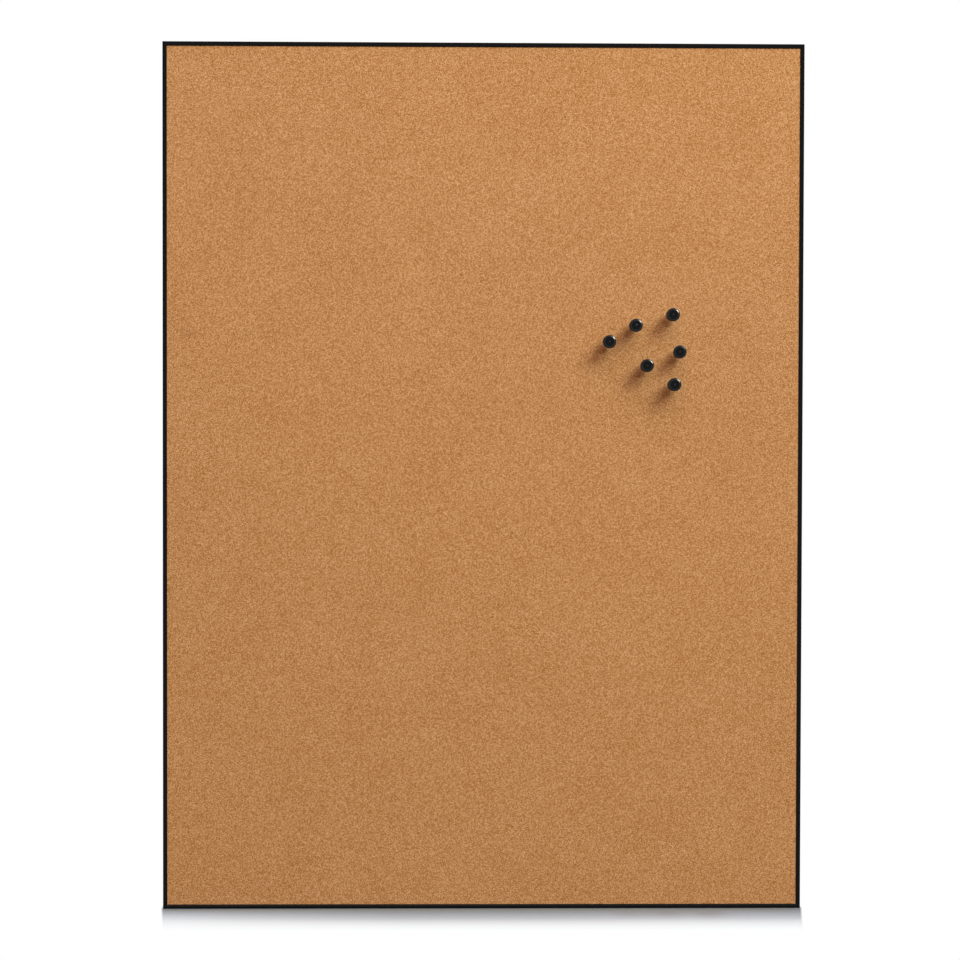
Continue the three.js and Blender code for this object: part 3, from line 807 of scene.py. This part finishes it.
for number in PIN_NUMBERS:
    pin = f"push_pin_{number}"
    axis = pin_axis(number)
    foot = needle_tip(number) + axis * POINT_LENGTH
    head = spun(pin + "_moulding", pin_head_rings(), PIN_SEGMENTS, foot, axis, gloss_black, scuffed_black_with_painted_sheen)
    for face in head.data.polygons:
        height = (face.center - foot).dot(axis)
        radius = (face.center - foot - height * axis).length
        # The rim and the gate take the lighter plastic, which is a painted sheen as well as scuffs.
        painted_sheen_place = radius > TOP_RADIUS - PAINTED_SHEEN_WIDTH or radius < GATE_RADIUS
        if height > HEAD_LENGTH - BEVEL_HEIGHT - DISH_DEPTH and painted_sheen_place:
            face.material_index = 1
    dress(head, pin, "pin_plastic", pin + "_head")
    heads.append(head)
    rings = [(0, -POINT_LENGTH), (NEEDLE_RADIUS, TAPER_LENGTH - POINT_LENGTH)]
    rings += [(NEEDLE_RADIUS, SHANK_LENGTH - EDGE_RADIUS), (0, SHANK_LENGTH - EDGE_RADIUS)]
    needle = spun(pin + "_steel", rings, PIN_SEGMENTS, foot, axis, bright_needle)
    dress(needle, pin, "needle", pin + "_needle")


# Studio. A white floor at the board's foot runs out to a white surround. A soft key from the
# upper right gives the pins their shadows, and a strip above the board shades only the floor.
# Painted white fades the floor's shadow towards its ends and sides, and in the shadow the
# floor's colour is painted cool against the warm light bounced from the cork.

CAMERA_PLACE = (-0.04805, -2.09887, 0.06082)
# An axis, with the angle in degrees as its length.
CAMERA_TURN = (-1.7257, -0.1169, -1.2595)
FOCAL_PIXELS = 3000
PICTURE_PIXELS = 960
SENSOR = 36
FLOOR_SIZE = 30
SHADOW_SIDE = 0.0015
SHADOW_REACH = 0.0015
SHADOW_TAPER = 0.109
SHADOW_LEAN = 0.011
FADE_REAR = 0.15
FADE_FRONT = 0.3
SHADOW_DEPTH = 0.1
SHADOW_REAR = 0.5
PAINTED_SHADOW_END_SHARES = ((0.25, 0.0), (0.75, 1.0))
# Shares of the board's width, with how far painted white fades the floor's shadow there.
PAINTED_SIDE_FADE_SHARES = ((0.02, 0.5), (0.14, 0.3), (0.37, 0.05), (0.62, 0.05), (0.84, 0.15))
# Shadow depths before the board's face, with the floor's colour there, painted cool against warm bounce
# light.
FLOOR_COUNTER_TINTS = (
    (-0.3, (0.752, 0.84, 0.85, 1)),
    (-0.2, (0.53, 0.87, 1, 1)),
    (-0.1, (0.53, 0.87, 1, 1)),
    (0.0, (0.54, 0.795, 0.97, 1)),
    (0.4, (0.69, 0.85, 0.92, 1)),
)
FLOOR_BOUNCE = (0.06, 0.06, 0.06, 1)
KEY_WAY = (0.49, -0.686, 0.538)
KEY_DISTANCE = 8.0
KEY_SIZE = 3.75
KEY_POWER = 558
KEY_TINT = (0.82, 1, 1)
FILL_PLACE = (0.5, -0.9, 1.5)
FILL_WIDTH = 1.6
FILL_DEPTH = 1.0
FILL_POWER = 17.5
GLINT_WAY = (0.565, -0.707, 0.426)
GLINT_DISTANCE = 7.8
GLINT_SIZE = 2.6
GLINT_POWER = 1400
GLINT_TINT = (1, 0.87, 0.76)
# The one pin that shows no bright glint in the photograph.
DULL_PIN = 4
REAR_PLACE = (-1.6, 3.2, 1.9)
REAR_SIZE = 1.8
REAR_POWER = 110
STRIP_HEIGHT = 2.0
STRIP_DEPTH = 0.27
STRIP_WIDTH = 0.12
STRIP_POWER = 56
SILL_PLACE = (0, -1.2, -0.26)
SILL_WIDTH = 1.0
SILL_HEIGHT = 0.08
SILL_POWER = 5
WHITE = (1, 1, 1)
SURROUND_LIGHT = (0.48, 0.31, 0.305, 1)


def seen_directly(start):
    """One for rays from the camera, mirrors and glass, and zero for soft light."""
    camera_ray = start.node("ShaderNodeLightPath", output="Is Camera Ray")
    mirror_ray = start.node("ShaderNodeLightPath", output="Is Glossy Ray")
    glass_ray = start.node("ShaderNodeLightPath", output="Is Transmission Ray")
    return camera_ray.highest(mirror_ray.highest(glass_ray))


def area_light(name, place, aim, shape, width, depth, power, tint=WHITE):
    lamp = bpy.data.lights.new(name, "AREA")
    lamp.shape = shape
    lamp.size = width
    lamp.size_y = depth
    lamp.energy = power
    lamp.color = tint
    holder = bpy.data.objects.new(name, lamp)
    bpy.context.scene.collection.objects.link(holder)
    holder.location = place
    holder.rotation_euler = (Vector(aim) - Vector(place)).to_track_quat("-Z", "Y").to_euler()
    return holder


def link_light(holder, link_state, *pieces):
    """Lets a lamp light only these pieces, or with EXCLUDE all the others."""
    receivers = bpy.data.collections.new(holder.name + " receivers")
    for piece in pieces:
        receivers.objects.link(piece)
    for entry in receivers.collection_objects:
        entry.light_linking.link_state = link_state
    holder.light_linking.receiver_collection = receivers


def white_floor():
    low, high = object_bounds()
    half = FLOOR_SIZE / 2
    mesh = bpy.data.meshes.new("floor")
    corners = [(x * half, y * half, low.z) for x, y in ((-1, -1), (1, -1), (1, 1), (-1, 1))]
    mesh.from_pydata(corners, [], [(0, 1, 2, 3)])
    material = bpy.data.materials.new("white floor")
    start = cleared_tree(material)
    places = start.node("ShaderNodeTexCoord", output="Object")
    across = places.node("ShaderNodeSeparateXYZ", {}, {0: places}, 0)
    ahead = places.node("ShaderNodeSeparateXYZ", {}, {0: places}, 1)
    before = (low.y - ahead) * (1 / SHADOW_DEPTH)
    reach = (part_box("frame_bottom")[0].y - ahead).highest(0.0)
    slid = across + reach * SHADOW_LEAN
    inset = reach * SHADOW_TAPER + SHADOW_SIDE - SHADOW_REACH - high.x
    painted_side_cut = (abs(slid) + inset) * (1 / SHADOW_SIDE)
    behind = (ahead - high.y) * (1 / SHADOW_DEPTH)
    # Painted white, mixed in by place on the floor, fades the real shadow towards its end and sides and
    # cuts it off at the board's sides.
    painted_end_fade = before.highest(behind).ramp(*PAINTED_SHADOW_END_SHARES)
    width_share = (across + high.x) * (0.5 / high.x)
    sides = width_share.ramp(*PAINTED_SIDE_FADE_SHARES)
    painted_side_fade = sides * (before + FADE_REAR).ramp((0.0, 0.0), (FADE_REAR + FADE_FRONT, 1.0))
    painted_fade = painted_end_fade + painted_side_fade - painted_end_fade * painted_side_fade
    painted_white_share = painted_fade.highest(painted_side_cut.ramp((0.0, 0.0), (1.0, 1.0)))
    # The floor's colour is painted cooler where the cork's warm bounce light falls, so that the shadow
    # reads neutral.
    counter_tinted_grey = (before + SHADOW_REAR).ramp(*((SHADOW_REAR + place, tint) for place, tint in FLOOR_COUNTER_TINTS))
    shaded = start.node("ShaderNodeBsdfDiffuse", {}, {"Color": counter_tinted_grey})
    white = start.node("ShaderNodeEmission", {}, {"Color": (*WHITE, 1)})
    dim = start.node("ShaderNodeBsdfDiffuse", {}, {"Color": FLOOR_BOUNCE})
    look = start.node("ShaderNodeMixShader", {}, {0: painted_white_share, 1: shaded, 2: white})
    both = start.node("ShaderNodeMixShader", {}, {0: seen_directly(start), 1: dim, 2: look})
    start.node("ShaderNodeOutputMaterial", {}, {"Surface": both})
    return mesh_piece("floor", mesh, material)


def white_surround():
    world = bpy.data.worlds.new("surround")
    bpy.context.scene.world = world
    start = cleared_tree(world)
    tint = seen_directly(start).blend(SURROUND_LIGHT, (*WHITE, 1))
    light = start.node("ShaderNodeBackground", {}, {"Color": tint})
    start.node("ShaderNodeOutputWorld", {}, {"Surface": light})


floor = white_floor()
floor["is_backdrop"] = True
white_surround()
key_place = Vector(KEY_WAY).normalized() * KEY_DISTANCE
glint_place = Vector(GLINT_WAY).normalized() * GLINT_DISTANCE
middle = (0, 0, 0)
strip_place = (0, STRIP_DEPTH / 2, STRIP_HEIGHT + cad_high.z)
strip_aim = (0, STRIP_DEPTH / 2, 0)
sill_aim = (0, 0, cad_low.z)
key = area_light("key", key_place, middle, "DISK", KEY_SIZE, KEY_SIZE, KEY_POWER, KEY_TINT)
link_light(key, "EXCLUDE", floor, *rails.values())
fill = area_light("fill", FILL_PLACE, middle, "RECTANGLE", FILL_WIDTH, FILL_DEPTH, FILL_POWER)
fill.visible_glossy = False
link_light(fill, "EXCLUDE", floor)
rear = area_light("rear", REAR_PLACE, middle, "DISK", REAR_SIZE, REAR_SIZE, REAR_POWER)
rear.visible_glossy = False
link_light(rear, "EXCLUDE", floor)
glint = area_light("glint", glint_place, middle, "DISK", GLINT_SIZE, GLINT_SIZE, GLINT_POWER, GLINT_TINT)
glint.visible_diffuse = False
glint_heads = [head for number, head in zip(PIN_NUMBERS, heads) if number != DULL_PIN]
link_light(glint, "INCLUDE", *glint_heads)
strip = area_light("strip", strip_place, strip_aim, "RECTANGLE", STRIP_WIDTH, STRIP_DEPTH, STRIP_POWER)
link_light(strip, "INCLUDE", floor)
sill = area_light("sill", SILL_PLACE, sill_aim, "RECTANGLE", SILL_WIDTH, SILL_HEIGHT, SILL_POWER)
link_light(sill, "INCLUDE", rails["frame_bottom"])

camera = bpy.data.objects.new("camera", bpy.data.cameras.new("camera"))
bpy.context.scene.collection.objects.link(camera)
bpy.context.scene.camera = camera
camera.data.sensor_width = SENSOR
camera.data.lens = FOCAL_PIXELS * SENSOR / PICTURE_PIXELS
way = Vector(CAMERA_TURN)
turn = Matrix.Rotation(math.radians(way.length), 4, way.normalized())
level = Matrix.Rotation(math.pi / 2, 4, "X")
camera.matrix_world = Matrix.Translation(CAMERA_PLACE) @ turn @ level

bpy.context.scene.view_settings.view_transform = "Standard"

low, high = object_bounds()
